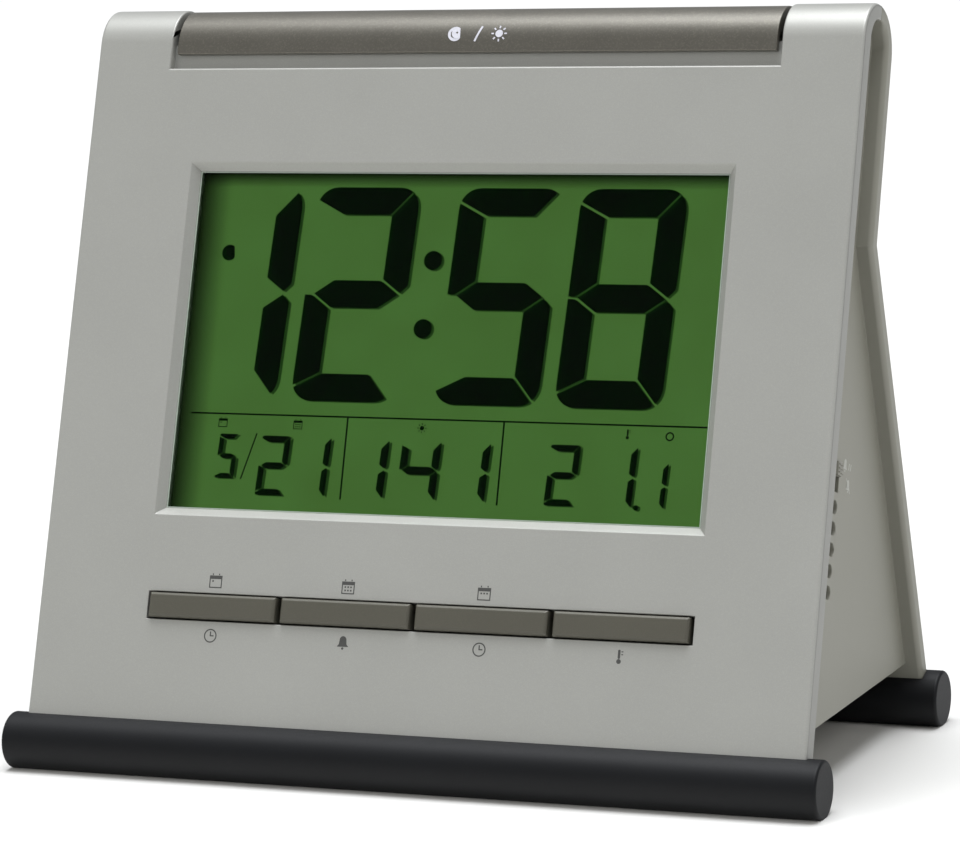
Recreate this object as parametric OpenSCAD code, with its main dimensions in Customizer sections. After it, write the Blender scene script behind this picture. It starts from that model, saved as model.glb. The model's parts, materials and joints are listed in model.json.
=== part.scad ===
// Digital desk alarm clock on an A-shaped stand, in millimetres.
// X runs across the clock, Y from its face to its back, Z up.
// The origin is on the table, midway between the feet.
// Two slanted frames are used throughout:
//   panel frame: x, depth behind the front face, height up the face
//   leg frame:   x, height out of the rear leg, distance down the leg from the bend (drawn as -Z)

/* [Body] */
// Width of the front and rear shells
body_w = 124.8; // [123:0.1:126]
// Thickness of the upright slab that holds the display
slab_t = 13.8; // [13.8:0.1:15]
// Height of the front face, measured up its slope
face_h = 110.5; // [110:0.5:114]
// Height of the face's lower edge above the table
face_z = 9.6; // [9.5:0.1:10]
// Angle that the face leans back from upright
lean = 19.4; // [19:0.1:21]
// Angle of the rear leg from upright
leg_lean = 16.5; // [16:0.1:18]
// Height up the slope at which the back bends into the leg
bend_v = 76.1; // [75.5:0.1:78]
// Thickness of the front shell's rim
front_rim = 3; // [3:0.1:3.3]
// Thickness of the rear shell's rim and leg
rear_rim = 2.7; // [2.5:0.1:2.9]
// Depth of the side walls inside the rims
side_recess = 2.5; // [2:0.1:3]
// Height of the underside above the table
belly_z = 10; // [9.8:0.1:10.4]

/* [Feet] */
// Length of each foot bar
foot_l = 130; // [128:0.5:134]
// Diameter of each foot bar
foot_d = 8.7; // [8.4:0.1:9]
// Height of the bar's axis above its flat sole
foot_axis_z = 4.05; // [3.8:0.05:4.1]

/* [Display] */
// Width of the visible window
window_w = 86.2; // [85:0.1:87]
// Height of the visible window
window_h = 52.4; // [52:0.1:53]
// Height of the window's middle up the slope
window_v = 57.5; // [57:0.05:58]
// Width of the sloping frame round the window
bevel_w = 1.25; // [1:0.05:1.3]
// Depth of the sloping frame
bevel_d = 1.4; // [1.2:0.1:1.6]

/* [Keys] */
// Width of one key
key_w = 21; // [20:0.1:21.1]
// Height of one key
key_h = 3.75; // [3.5:0.05:3.8]
// Distance between neighbouring keys
key_pitch = 21.9; // [21.7:0.1:22]
// Height of the key row's middle up the slope
key_v = 16.2; // [16:0.1:16.6]
// How far the keys stand out of the face
key_proud = 0.8; // [0.6:0.1:1]
// Travel of a key
key_travel = 0.6; // [0.4:0.1:0.7]

/* [Snooze bar] */
// Length of the bar
bar_w = 97.9; // [97:0.1:98]
// Gap at each end of the bar
bar_gap = 0.8; // [0.5:0.05:0.8]
// Height of the bar's lower edge up the slope
bar_v = 102.1; // [102:0.1:102.3]
// Depth at which the bar ends behind the face
bar_end = 10.3; // [10:0.1:10.5]
// Travel of the bar
bar_travel = 0.9; // [0.6:0.1:1]

/* [Side controls] */
// Depth of the alarm switch and the sounder behind the face
side_d = 11.1; // [11:0.1:11.4]
// Number of sound slots
hole_count = 5; // [3:1:5]
// Width of a sound slot
hole_d = 2; // [1.8:0.1:2.2]
// Distance between sound slots
hole_pitch = 3.14; // [3.1:0.01:3.2]
// Height of the lowest sound slot up the slope
hole_v = 24; // [23.8:0.1:24.2]
// Height of the alarm knob up the slope, in its upper place
knob_v = 42.2; // [42:0.1:42.4]
// Travel of the alarm knob, down from there
knob_travel = 2.25; // [1.8:0.05:2.25]

/* [Batteries] */
// Length of one cell
cell_l = 44.5; // [44:0.1:44.5]
// Diameter of one cell
cell_d = 10.5; // [10:0.1:10.5]
// Distance down the leg to the upper cell
cell_s = 43.3; // [43:0.1:43.5]
// Angle that the battery door opens
door_open = 0; // [0:5:75]

/* [Hidden] */
$fn = 64;

face_radius = 6.6;                       // outer round of the front top edge
back_radius = 6.6;                       // outer round of the rear top edge
inner_radius = 3.75;                     // rounds inside the rims
top_rim = 2.3;                           // wall over the top
seam_d = 7;                              // depth of the seam between the shells, over the top
seam_gap = 0.2;
skin_t = 2.6;                            // front wall inside the rim
wall_t = 2;                              // side walls and underside
wall_x = body_w / 2 - side_recess;       // outer face of the side walls
cavity_x = wall_x - wall_t;              // inner face of the side walls
tongue_z = 4.6;                          // lower end of both shells, inside the feet

// Where the face and the leg meet the feet, measured back from the face's lower edge
front_foot_back = front_rim / 2 / cos(lean) - (face_z - foot_axis_z) * tan(lean);
bend_back = slab_t * cos(lean) + bend_v * sin(lean);
bend_z = face_z - slab_t * sin(lean) + bend_v * cos(lean);
rear_foot_back = bend_back + (bend_z - foot_axis_z) * tan(leg_lean) - rear_rim / 2 / cos(leg_lean);
face_y = -(front_foot_back + rear_foot_back) / 2;
bend_y = face_y + bend_back;
front_foot_y = face_y + front_foot_back;
rear_foot_y = face_y + rear_foot_back;

// Layers behind the face, by depth
lens_t = 1.2;
window_low = window_v - window_h / 2;
window_high = window_v + window_h / 2;
lens_x = window_w / 2 + 2;
lens_v = [window_low - 2, window_high + 2];
glass_x = window_w / 2 + 1.6;
glass_v = [window_low - 3.2, window_high + 2.6];
glass_ledge = 3;                         // how much longer the front glass is below
lit_x = window_w / 2 - 0.2;
lit_v = [window_low + 0.3, window_high + 1];
frame_d = skin_t + 0.3;
lcd_d = skin_t + 0.5;
glass_t = 1;
film_t = 0.2;
diffuser_d = lcd_d + 2 * glass_t + 0.1;
guide_d = diffuser_d + film_t;
guide_t = 1.3;
board_d = 7.2;
board_t = 1.6;
board_back = board_d + board_t;

// Snooze bar and its pocket
bar_face = 0.25;                         // how far the bar's front lies behind the face
bar_sink = 0.25;                         // how far its top lies below the shells' top
bar_skin = 1.15;
pocket_v = 99.8;                         // lower edge of the pocket

// Fasteners and switches
pilot_r = 1;
clear_r = 1.25;
head_r = 2.2;
head_h = 1.4;
well_r = 2.4;
boss_r = 3;
board_boss_r = 1.9;
board_screw_r = 0.8;
board_head_r = 1.6;
top_screw = [54, 96];                    // x and height up the slope
low_screw = [48, 10.5];                  // x and distance behind the face's lower edge
low_boss_z = 14;
board_screw_x = 50.8;
board_screw_v = [26.5, 87];
stem_r = 1.2;
stem_hole_r = 1.4;
switch_w = 6;
switch_h = 5;
switch_d = 4.2;                          // front of the key switches' bodies
snooze_leg_x = 30;
snooze_switch_v = 90.2;
snooze_tip_v = 95.6;
snooze_stem_r = 0.9;
head_sink = 0.2;                         // how deep a screw's head lies in its well
bite = 0.02;                             // room between a screw's shank and its pilot hole

slot_ends = [9.4, 11.4];                 // centres of a sound slot's round ends, by depth
knob_proud = 0.5;                        // how far the alarm knob stands out of the side wall

// Battery compartment, in the leg frame
cell_pitch = 11.6;
cell_n = -(rear_rim + 0.35 + cell_d / 2);
bay_x = 25.5;
bay_s = [37, 61.8];
bay_floor = -14;
bay_wall = 1.5;
door_t = 2;
door_x = 28;
door_s = [34.5, 64];
door_gap = 0.2;
pip_r = 0.6;                             // pivot pips at the door's lower corners
pip_l = 1.1;
pip_room = 0.05;
plate_t = 0.4;
tab_n = -9;                              // solder tabs that reach through the bay's wall
tab_end = bay_x + bay_wall + 1;

// Sizes that are worked out from the ones above
function key_x(i) = (i - 1.5) * key_pitch;
function turned(a, b, angle) = [a * cos(angle) + b * sin(angle), b * cos(angle) - a * sin(angle)];
function panel_yz(d, v) = [face_y, face_z] + turned(d, v, lean);
function leg_yz(n, s) = [bend_y, bend_z] + turned(n, -s, -leg_lean);
function panel_point(x, d, v) = concat([x], panel_yz(d, v));
function leg_point(x, n, s) = concat([x], leg_yz(n, s));

// ---- Frames and shared shapes ----

// Puts (x, depth, height) shapes into the panel frame
module on_panel() {
    translate([0, face_y, face_z]) rotate([-lean, 0, 0]) children();
}

// Puts (x, out, up the leg) shapes into the leg frame
module on_leg() {
    translate([0, bend_y, bend_z]) rotate([leg_lean, 0, 0]) children();
}

// Puts a flat (depth, height) outline into the (y, z) plane
module panel_outline() {
    translate([face_y, face_z]) rotate(-lean) children();
}

// Extrudes a (y, z) outline along X, centred
module across(width) {
    translate([-width / 2, 0, 0]) rotate([90, 0, 90]) linear_extrude(width) children();
}

// A box given by its lowest and highest corners
module block(low, high) {
    translate(low) cube(high - low);
}

// A box that is drawn once on each side of the middle
module block_pair(low, high) {
    block(low, high);
    mirror([1, 0, 0]) block(low, high);
}

// A box whose four sides slope, from size a at depth d0 to size b at depth d1,
// centred on x = 0 and height v
module tapered_block(a, b, d0, d1, v) {
    intersection() {
        translate([0, 0, v - max(a[1], b[1])]) linear_extrude(2 * max(a[1], b[1]))
            polygon([[-a[0] / 2, d0], [a[0] / 2, d0], [b[0] / 2, d1], [-b[0] / 2, d1]]);
        across(2 * max(a[0], b[0]))
            polygon([[d0, v - a[1] / 2], [d1, v - b[1] / 2], [d1, v + b[1] / 2], [d0, v + a[1] / 2]]);
    }
}

// Round stick along the depth axis, at (x, height), from depth d0 to d1
module peg(x, v, d0, d1, r) {
    translate([x, d1, v]) rotate([90, 0, 0]) cylinder(r = r, h = d1 - d0);
}

// Slab outline in (depth, height), with its two top corners rounded
module slab(d0, d1, v0, v1, front_r, back_r) {
    translate([d0, v0]) square([front_r, v1 - v0 - front_r]);
    translate([d0 + front_r, v0]) square([d1 - d0 - front_r - back_r, v1 - v0]);
    translate([d1 - back_r, v0]) square([back_r, v1 - v0 - back_r]);
    translate([d0 + front_r, v1 - front_r]) circle(front_r);
    translate([d1 - back_r, v1 - back_r]) circle(back_r);
}

// A tube that follows a list of points, with eight flat sides.
// up is a direction that no stretch of it takes.
module tube_along(points, r, up) {
    sides = 8;
    last = len(points) - 1;
    function unit(v) = v / norm(v);
    function heading(i) = unit(points[min(i + 1, last)] - points[max(i - 1, 0)]);
    function side(i) = unit(cross(heading(i), up));
    function around(i, turn) = cos(turn) * side(i) + sin(turn) * cross(heading(i), side(i));
    function ring(i) = [for (k = [0:sides - 1]) points[i] + r * around(i, 360 * k / sides)];
    polyhedron(
        [for (i = [0:last]) each ring(i)],
        concat(
            [[for (k = [0:sides - 1]) k]],
            [for (i = [0:last - 1]) for (k = [0:sides - 1])
                [i * sides + k, (i + 1) * sides + k, (i + 1) * sides + (k + 1) % sides]],
            [for (i = [0:last - 1]) for (k = [0:sides - 1])
                [i * sides + k, (i + 1) * sides + (k + 1) % sides, i * sides + (k + 1) % sides]],
            [[for (k = [0:sides - 1]) last * sides + sides - 1 - k]]
        )
    );
}

// ---- Profiles of the two shells ----

module outer_profile(v0) {
    slab(0, slab_t, v0, face_h, face_radius, back_radius);
}

module inner_profile(v0) {
    slab(front_rim, slab_t - rear_rim, v0, face_h - top_rim, inner_radius, inner_radius);
}

// Front face plate with the front half of the top, down into the front foot
module front_rim_profile() {
    intersection() {
        panel_outline() intersection() {
            difference() {
                outer_profile(-15);
                inner_profile(-20);
            }
            translate([-1, -20]) square([seam_d - seam_gap / 2 + 1, face_h + 30]);
        }
        translate([-100, tongue_z]) square([200, 200]);
    }
}

// Rear half of the top, the back of the slab and the leg, down into the rear foot
module rear_rim_profile() {
    mitre = rear_rim * tan((lean + leg_lean) / 2);
    panel_outline() intersection() {
        difference() {
            outer_profile(bend_v - mitre);
            inner_profile(0);
        }
        translate([seam_d + seam_gap / 2, bend_v - mitre]) square([slab_t, face_h]);
    }
    intersection() {
        polygon([leg_yz(0, -mitre), leg_yz(0, 90), leg_yz(-rear_rim, 90), leg_yz(-rear_rim, -mitre)]);
        translate([-100, tongue_z]) square([200, 200]);
    }
}

// Everything between the two rims above floor_z, reaching to back_gap short of the outer faces behind
module filling_profile(back_gap, floor_z) {
    intersection() {
        union() {
            panel_outline()
                slab(front_rim, slab_t - back_gap, 0, face_h - top_rim, inner_radius, inner_radius);
            polygon([
                panel_yz(front_rim, -10), panel_yz(front_rim, bend_v), panel_yz(slab_t - back_gap, bend_v),
                leg_yz(-back_gap, -back_gap * tan((lean + leg_lean) / 2)), leg_yz(-back_gap, 80)
            ]);
        }
        translate([-100, floor_z]) square([200, 200]);
    }
}

// ---- Shells ----

// The lower screws' places on both sides, at height z
module at_low_screws(z) {
    for (side = [-1, 1]) translate([side * low_screw[0], face_y + low_screw[1], z]) children();
}

// The screw towers that the rear housing and the board are fixed to
module front_towers() {
    on_panel() for (side = [-1, 1]) {
        peg(side * top_screw[0], top_screw[1], skin_t - 1, slab_t - rear_rim, boss_r);
        for (v = board_screw_v) peg(side * board_screw_x, v, skin_t - 1, board_d, board_boss_r);
    }
    intersection() {
        union() {
            at_low_screws(low_boss_z) cylinder(r = boss_r, h = 8);
            on_panel() block_pair([low_screw[0] - 1, skin_t - 1, 4], [low_screw[0] + 1, 8, 13]);
        }
        translate([-100, -100, low_boss_z]) cube([200, 200, 50]);
    }
}

// Ribs on either side of the snooze bar's two legs
module snooze_guides() {
    rib_t = 1.2;
    on_panel() for (side = [-1, 1]) for (edge = [-3.4, 2.2])
        translate([side * snooze_leg_x + edge, 0, 0])
            block([0, skin_t - 1, snooze_tip_v + 1.5], [rib_t, 6.4, pocket_v]);
}

module front_shell() {
    floor_d = bar_face + bar_skin + 0.1; // floor of the pocket that the snooze bar slides in
    open_v = bar_v + 1.6;                // height at which the pocket opens into the clock
    pocket_x = bar_w / 2 + bar_gap;
    keys_x = key_x(3) + key_w / 2 + 0.55;
    keys_half_h = key_h / 2 + 0.25;
    color("#A0A19C") difference() {
        union() {
            difference() {
                across(body_w) front_rim_profile();
                on_panel() block([-cavity_x + 0.5, skin_t, 5.6], [cavity_x - 0.5, front_rim + 1, open_v]);
            }
            front_towers();
            snooze_guides();
        }
        on_panel() {
            tapered_block(
                [window_w + 3 * bevel_w, window_h + 3 * bevel_w], [window_w - bevel_w, window_h - bevel_w],
                -bevel_d / 2, 1.5 * bevel_d, window_v);
            block([-lens_x - 0.1, bevel_d, lens_v[0] - 0.1], [lens_x + 0.1, front_rim + 1, lens_v[1] + 0.1]);
            block([-keys_x, -1, key_v - keys_half_h], [keys_x, front_rim + 1, key_v + keys_half_h]);
            block([-pocket_x, -1, pocket_v], [pocket_x, floor_d, face_h + 1]);
            block([-pocket_x, -1, open_v], [pocket_x, seam_d + 1, face_h + 1]);
            for (side = [-1, 1]) {
                peg(side * top_screw[0], top_screw[1], 5, slab_t, pilot_r);
                for (v = board_screw_v) peg(side * board_screw_x, v, 3.2, board_d + 1, board_screw_r);
            }
        }
        at_low_screws(low_boss_z - 1) cylinder(r = pilot_r, h = 7.6);
    }
}

module rear_housing() {
    color("#8E8C84") difference() {
        union() {
            across(body_w) rear_rim_profile();
            difference() {
                union() {
                    across(2 * wall_x) filling_profile(1.5, belly_z);
                    on_panel() block_pair([cavity_x, seam_d + 0.5, face_h - 6], [wall_x, 9, face_h - 1.2]);
                }
                across(2 * cavity_x) filling_profile(rear_rim, belly_z + wall_t);
            }
            battery_bay();
            at_low_screws(belly_z) cylinder(r = 4, h = low_boss_z - belly_z);
        }
        housing_cuts();
    }
}

// Five-sided box for the cells, open through the leg
module battery_bay() {
    room = [bay_wall, bay_wall, bay_wall];
    low = [-bay_x, bay_floor, -bay_s[1]];
    on_leg() difference() {
        block(low - room, [bay_x + bay_wall, -1, -bay_s[0] + bay_wall]);
        block(low, [bay_x, 1, -bay_s[0]]);
    }
}

// The battery bay's mouth, the door's seat with its pip holes and thumb notch, and the tabs' slots
module bay_cuts() {
    door_rim_x = door_x + door_gap;
    on_leg() {
        block([-bay_x, -rear_rim - 1, -bay_s[1]], [bay_x, 1, -bay_s[0]]);
        block([-door_rim_x, -door_t - 0.1, -door_s[1] - door_gap], [door_rim_x, 1, -door_s[0] + door_gap]);
        for (side = [-1, 1]) translate([side * (door_x - 1), -door_t / 2, -door_s[1] + door_t / 2])
            rotate([0, side * 90, 0]) cylinder(r = pip_r + pip_room, h = pip_l + 1.3);
        translate([0, -1, -door_s[0] - 2]) rotate([-90, 0, 0]) cylinder(r = 7, h = 2);
        for (s = [cell_s, cell_s + cell_pitch])
            block([-tab_end - 1, tab_n - 1.1, -s - 0.35], [-bay_x + 1, tab_n + 1.1, -s + 0.35]);
    }
}

// The sound slots and the alarm knob's slot, through the right-hand side wall
module side_cuts() {
    slot_half_w = 1.1;
    slot_half_h = 1.15;
    for (i = [0:hole_count - 1]) translate([cavity_x - 1, 0, hole_v + i * hole_pitch]) {
        for (end_d = slot_ends) translate([0, end_d, 0]) rotate([0, 90, 0]) cylinder(d = hole_d, h = 5);
        translate([0, slot_ends[0], -hole_d / 2]) cube([5, slot_ends[1] - slot_ends[0], hole_d]);
    }
    block([cavity_x - 1, side_d - slot_half_w, knob_v - slot_half_h - knob_travel],
        [wall_x + 1, side_d + slot_half_w, knob_v + slot_half_h]);
}

module housing_cuts() {
    bay_cuts();
    on_panel() {
        for (side = [-1, 1]) {
            peg(side * top_screw[0], top_screw[1], slab_t - rear_rim - 1, slab_t + 1, clear_r);
            peg(side * top_screw[0], top_screw[1], slab_t - head_h - head_sink, slab_t + 1, well_r);
        }
        block([-bar_w / 2 - bar_gap, seam_d - 1, bar_v], [bar_w / 2 + bar_gap, bar_end + 0.4, face_h + 5]);
        side_cuts();
    }
    at_low_screws(belly_z - 1) {
        cylinder(r = clear_r, h = 6);
        cylinder(r = well_r, h = head_h + head_sink + 1);
    }
}

// ---- Feet ----

// Round bar along X with rounded end edges and a flat sole
module foot_bar(y) {
    r = foot_d / 2;
    edge = 0.5;
    translate([0, y, foot_axis_z]) rotate([0, 90, 0]) rotate_extrude() {
        translate([0, -foot_l / 2]) square([r - edge, foot_l]);
        translate([r - edge, -foot_l / 2 + edge]) square([edge, foot_l - 2 * edge]);
        for (end = [-1, 1]) translate([r - edge, end * (foot_l / 2 - edge)]) circle(edge);
    }
}

module front_foot() {
    color("#232527") difference() {
        foot_bar(front_foot_y);
        translate([-100, -100, -10]) cube([200, 200, 10]);
        across(body_w) front_rim_profile();
    }
}

module rear_foot() {
    color("#232527") difference() {
        foot_bar(rear_foot_y);
        translate([-100, -100, -10]) cube([200, 200, 10]);
        across(body_w) rear_rim_profile();
    }
}

// ---- Keys and snooze bar ----

// Outline of the snooze bar, shrunk by inset; the bar lies a little lower than the shells' top
module bar_layer(inset) {
    front_d = bar_face + inset;
    top_gap = bar_sink + inset;
    slab(front_d, slab_t - top_gap, 90, face_h - top_gap, face_radius - front_d, back_radius - top_gap);
}

module snooze_bar() {
    end_t = 1.2;
    leg_top = face_h - bar_sink - bar_skin / 2;
    color("#5D5B53") on_panel() {
        across(bar_w) intersection() {
            difference() {
                bar_layer(0);
                bar_layer(bar_skin);
            }
            translate([-1, bar_v]) square([bar_end + 1, 20]);
        }
        for (side = [-1, 1]) translate([side * (bar_w - end_t) / 2, 0, 0]) across(end_t) intersection() {
            bar_layer(bar_skin / 2);
            translate([-1, bar_v + 3]) square([bar_end + 1, 20]);
        }
        for (side = [-1, 1]) {
            block([side * snooze_leg_x - 2, 4.6, snooze_tip_v + 2], [side * snooze_leg_x + 2, 6.4, leg_top]);
            translate([side * snooze_leg_x, 5.6, snooze_tip_v]) cylinder(r = snooze_stem_r, h = 3);
        }
    }
}

// One key: a cap with bevelled edges, a flange that keeps it in, and a stem that works its switch
module key(i) {
    flange_d = skin_t + 0.05;
    bevel = 0.35;
    x = key_w / 2;
    half_h = key_h / 2;
    color("#62614F") on_panel() translate([key_x(i), 0, key_v]) {
        tapered_block([key_w - 2 * bevel, key_h - 2 * bevel], [key_w, key_h],
            -key_proud, -key_proud + bevel, 0);
        block([-x, -key_proud + bevel, -half_h], [x, flange_d + 0.5, half_h]);
        block([-x - 0.25, flange_d, -half_h - 1], [x + 0.25, flange_d + 0.8, half_h + 1]);
        peg(0, 0, flange_d, 5, stem_r);
    }
}

module month_key() {
    key(0);
}

module date_key() {
    key(1);
}

module year_key() {
    key(2);
}

module unit_key() {
    key(3);
}

// ---- Display ----

module display_lens() {
    color("#BFD8C4") on_panel() block([-lens_x, bevel_d, lens_v[0]], [lens_x, bevel_d + lens_t, lens_v[1]]);
}

module lcd_frame() {
    color("#E4E4DE") on_panel() difference() {
        block([-glass_x - 4, frame_d, glass_v[0] - 2.2], [glass_x + 4, board_d, glass_v[1] + 2.8]);
        block([-glass_x - 0.3, frame_d - 1, glass_v[0] - 0.2],
            [glass_x + 0.3, board_d + 1, glass_v[1] + 0.2]);
    }
}

// Two sheets of glass; the front one is longer below, and its ledge carries the contacts
module lcd_panel() {
    color("#42682F") on_panel() {
        block([-glass_x, lcd_d, glass_v[0]], [glass_x, lcd_d + glass_t, glass_v[1]]);
        block([-glass_x, lcd_d, glass_v[0] + glass_ledge], [glass_x, lcd_d + 2 * glass_t, glass_v[1]]);
    }
}

// A sheet of the backlight, from depth d
module lit_sheet(d, t) {
    on_panel() block([-lit_x, d, lit_v[0]], [lit_x, d + t, lit_v[1]]);
}

module diffuser_film() {
    color("#DDE6D6") lit_sheet(diffuser_d, film_t);
}

module light_guide() {
    color("#CFE8C4") lit_sheet(guide_d, guide_t);
}

module reflector_film() {
    color("#F2F2F0") lit_sheet(guide_d + guide_t, film_t);
}

module backlight_leds() {
    color("#9BE37A") on_panel() for (v = [window_v - 12, window_v, window_v + 12])
        block([lit_x + 0.05, guide_d, v - 1.5], [glass_x, guide_d + guide_t, v + 1.5]);
}

module elastomer_strip() {
    color("#D88A9A") on_panel() block([-glass_x + 2.5, lcd_d + glass_t, glass_v[0] + 0.3],
        [glass_x - 2.5, board_d, glass_v[0] + glass_ledge - 0.3]);
}

// ---- Electronics ----

module main_board() {
    color("#2E6B3C") on_panel() difference() {
        union() {
            block([-53.3, board_d, 24], [53.3, board_back, 90]);
            block([-42, board_d, key_v - 5], [42, board_back, 25]);
            block([-40, board_d, 89], [40, board_back, snooze_tip_v + 2]);
        }
        for (side = [-1, 1]) for (v = board_screw_v)
            peg(side * board_screw_x, v, board_d - 1, board_back + 1, board_screw_r + 0.25);
    }
}

// Drop of black resin over the bare chip
module controller_chip() {
    r = 6.5;
    drop_h = 1.4;
    dome_r = (r * r + drop_h * drop_h) / (2 * drop_h);
    color("#151515") on_panel() translate([-6, board_back, 50]) rotate([-90, 0, 0])
        rotate_extrude() intersection() {
            square([r, drop_h]);
            translate([0, drop_h - dome_r]) circle(dome_r, $fn = 360);
        }
}

module quartz_crystal() {
    can_r = 1.05;
    color("#C9CBCC") on_panel() translate([16, board_back + can_r, 50]) rotate([0, 90, 0])
        cylinder(r = can_r, h = 6);
}

// Small surface-mounted parts and one round capacitor, below the slab's back wall
module board_components() {
    color("#B8936A") on_panel() {
        for (i = [0:4]) block([-30 + 4 * i, board_back, 66], [-28 + 4 * i, board_back + 0.6, 67.2]);
        for (i = [0:3]) block([12 + 5 * i, board_back, 60], [14.5 + 5 * i, board_back + 0.8, 61.3]);
        peg(-24, 44, board_back, board_back + 5, 2.5);
    }
}

module key_switches() {
    color("#3A3A3C") on_panel() for (i = [0:3]) translate([key_x(i), 0, key_v]) difference() {
        block([-switch_w / 2, switch_d, -switch_h / 2], [switch_w / 2, board_d, switch_h / 2]);
        peg(0, 0, switch_d - 1, 6.4, stem_hole_r);
    }
}

module snooze_switches() {
    color("#3A3A3C") on_panel() for (side = [-1, 1]) translate([side * snooze_leg_x, 0, 0]) difference() {
        block([-switch_w / 2, 3.8, snooze_switch_v], [switch_w / 2, board_d, snooze_tip_v + 0.8]);
        translate([0, 5.6, snooze_tip_v - bar_travel - 0.9]) cylinder(r = stem_hole_r, h = 4);
    }
}

// Body of the slide switch, with the channel in which the knob's base runs
module alarm_switch() {
    low_v = knob_v - knob_travel;
    color("#A9ABAD") on_panel() difference() {
        block([cavity_x - 4.2, side_d - 2.6, low_v - 2.6], [cavity_x, side_d + 2.6, knob_v + 2.6]);
        block([cavity_x - 2.6, side_d - 1.9, low_v - 1.75], [cavity_x + 1, side_d + 1.9, knob_v + 1.75]);
    }
}

module alarm_knob() {
    color("#8A8A86") on_panel() {
        block([cavity_x - 2.5, side_d - 1.8, knob_v - 1.7], [cavity_x - 0.1, side_d + 1.8, knob_v + 1.7]);
        block([cavity_x - 1, side_d - 1, knob_v - 1.05], [wall_x + knob_proud, side_d + 1, knob_v + 1.05]);
    }
}

module buzzer() {
    buzzer_r = 6.4;
    buzzer_t = 3.6;
    middle_v = hole_v + hole_pitch * (hole_count - 1) / 2;
    color("#1B1B1D") on_panel() translate([cavity_x - buzzer_t, side_d, middle_v]) rotate([0, 90, 0])
        difference() {
            cylinder(r = buzzer_r, h = buzzer_t);
            translate([0, 0, 1]) cylinder(r = buzzer_r - 1.2, h = buzzer_t);
        }
}

// A bead on two leads, past the edge of the board
module temperature_sensor() {
    color("#3B2A1E") on_panel() {
        translate([-55, board_back + 0.6, 60]) sphere(1.2);
        for (v = [59.4, 60.6]) translate([-54.4, board_back + 0.25, v]) rotate([0, 90, 0])
            cylinder(r = 0.25, h = 3.4);
    }
}

// ---- Batteries ----

module battery_door() {
    grip_count = 5;
    hinge = [0, -door_t / 2, -door_s[1] + door_t / 2];
    color("#8E8C84") on_leg() translate(hinge) rotate([-door_open, 0, 0]) translate(-hinge) difference() {
        union() {
            block([-door_x, -door_t, hinge[2]], [door_x, 0, -door_s[0]]);
            translate(hinge) rotate([0, 90, 0]) {
                cylinder(r = door_t / 2, h = 2 * door_x, center = true);
                cylinder(r = pip_r, h = 2 * (door_x + pip_l), center = true);
            }
        }
        for (i = [0:grip_count - 1]) translate([0, 0, -door_s[0] - 6.8 - 2 * i])
            block([-9, -0.5, 0], [9, 1, 0.8]);
    }
}

// One cell: the can, its shoulder and the positive button, pointing along +X or -X
module cell(s, turn) {
    button_h = 1;
    on_leg() translate([0, cell_n, -s]) rotate([0, 90 * turn, 0]) translate([0, 0, -cell_l / 2]) {
        cylinder(d = cell_d, h = cell_l - button_h);
        cylinder(d = 3.8, h = cell_l);
    }
}

module upper_cell() {
    color("#9C8F4A") cell(cell_s, 1);
}

module lower_cell() {
    color("#9C8F4A") cell(cell_s + cell_pitch, -1);
}

// Conical springs that press on the flat ends of the cells
module contact_springs() {
    turns = 3;
    steps = 12;
    spring_wire_r = 0.3;
    free_l = bay_x - plate_t - cell_l / 2 - 2 * spring_wire_r;
    color("#C9CBCC") for (end = [-1, 1])
        tube_along([
            for (k = [0:turns * steps])
                let (part = k / (turns * steps), r = 3.4 - 1.2 * part)
                    leg_point(end * (bay_x - plate_t - spring_wire_r - free_l * part),
                        cell_n + r * cos(360 * k / steps),
                        (end > 0 ? cell_s + cell_pitch : cell_s) + r * sin(360 * k / steps))
        ], spring_wire_r, [1, 0, 0]);
}

// Contact plates on the end walls: one pair at -X, and one long plate at +X that joins the cells
module contact_plates() {
    half_w = 4.25;
    lower_s = cell_s + cell_pitch;
    bump = bay_x - plate_t - cell_l / 2;
    color("#C9CBCC") on_leg() {
        for (s = [cell_s, lower_s]) translate([-bay_x, 0, -s]) {
            block([0, cell_n - half_w, -half_w], [plate_t, cell_n + half_w, half_w]);
            block([bay_x - tab_end, tab_n - 1, -0.25], [plate_t, tab_n + 1, 0.25]);
        }
        block([bay_x - plate_t, cell_n - half_w, -lower_s - half_w],
            [bay_x, cell_n + half_w, -cell_s + half_w]);
        translate([cell_l / 2, cell_n, -cell_s]) rotate([0, 90, 0]) cylinder(r = 2.4, h = bump);
        translate([-cell_l / 2, cell_n, -lower_s]) rotate([0, -90, 0]) cylinder(r = 2.4, h = bump);
    }
}

// ---- Wires ----

wire_r = 0.55;
thin_wire_r = 0.4;
up_slope = [0, sin(lean), cos(lean)];    // direction up the face
// From the battery bay's end wall to solder points on the board
positive_route = [
    leg_point(-tab_end, tab_n, cell_s), leg_point(-30.5, -9.3, 42.8), leg_point(-33, -12, 41),
    leg_point(-35, -16, 39.5), panel_point(-35.5, 18, 38), panel_point(-35.5, 13, 37.2),
    panel_point(-35.5, 10.5, 37), panel_point(-35.5, board_back, 37)
];
negative_route = [
    leg_point(-tab_end, tab_n, cell_s + cell_pitch), leg_point(-30.6, -9.3, 54.5), leg_point(-34, -12, 52.5),
    leg_point(-37, -17, 49), panel_point(-39, 21, 33), panel_point(-39.5, 14, 30.6),
    panel_point(-39.5, 10.8, 30), panel_point(-39.5, board_back, 30)
];
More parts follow.
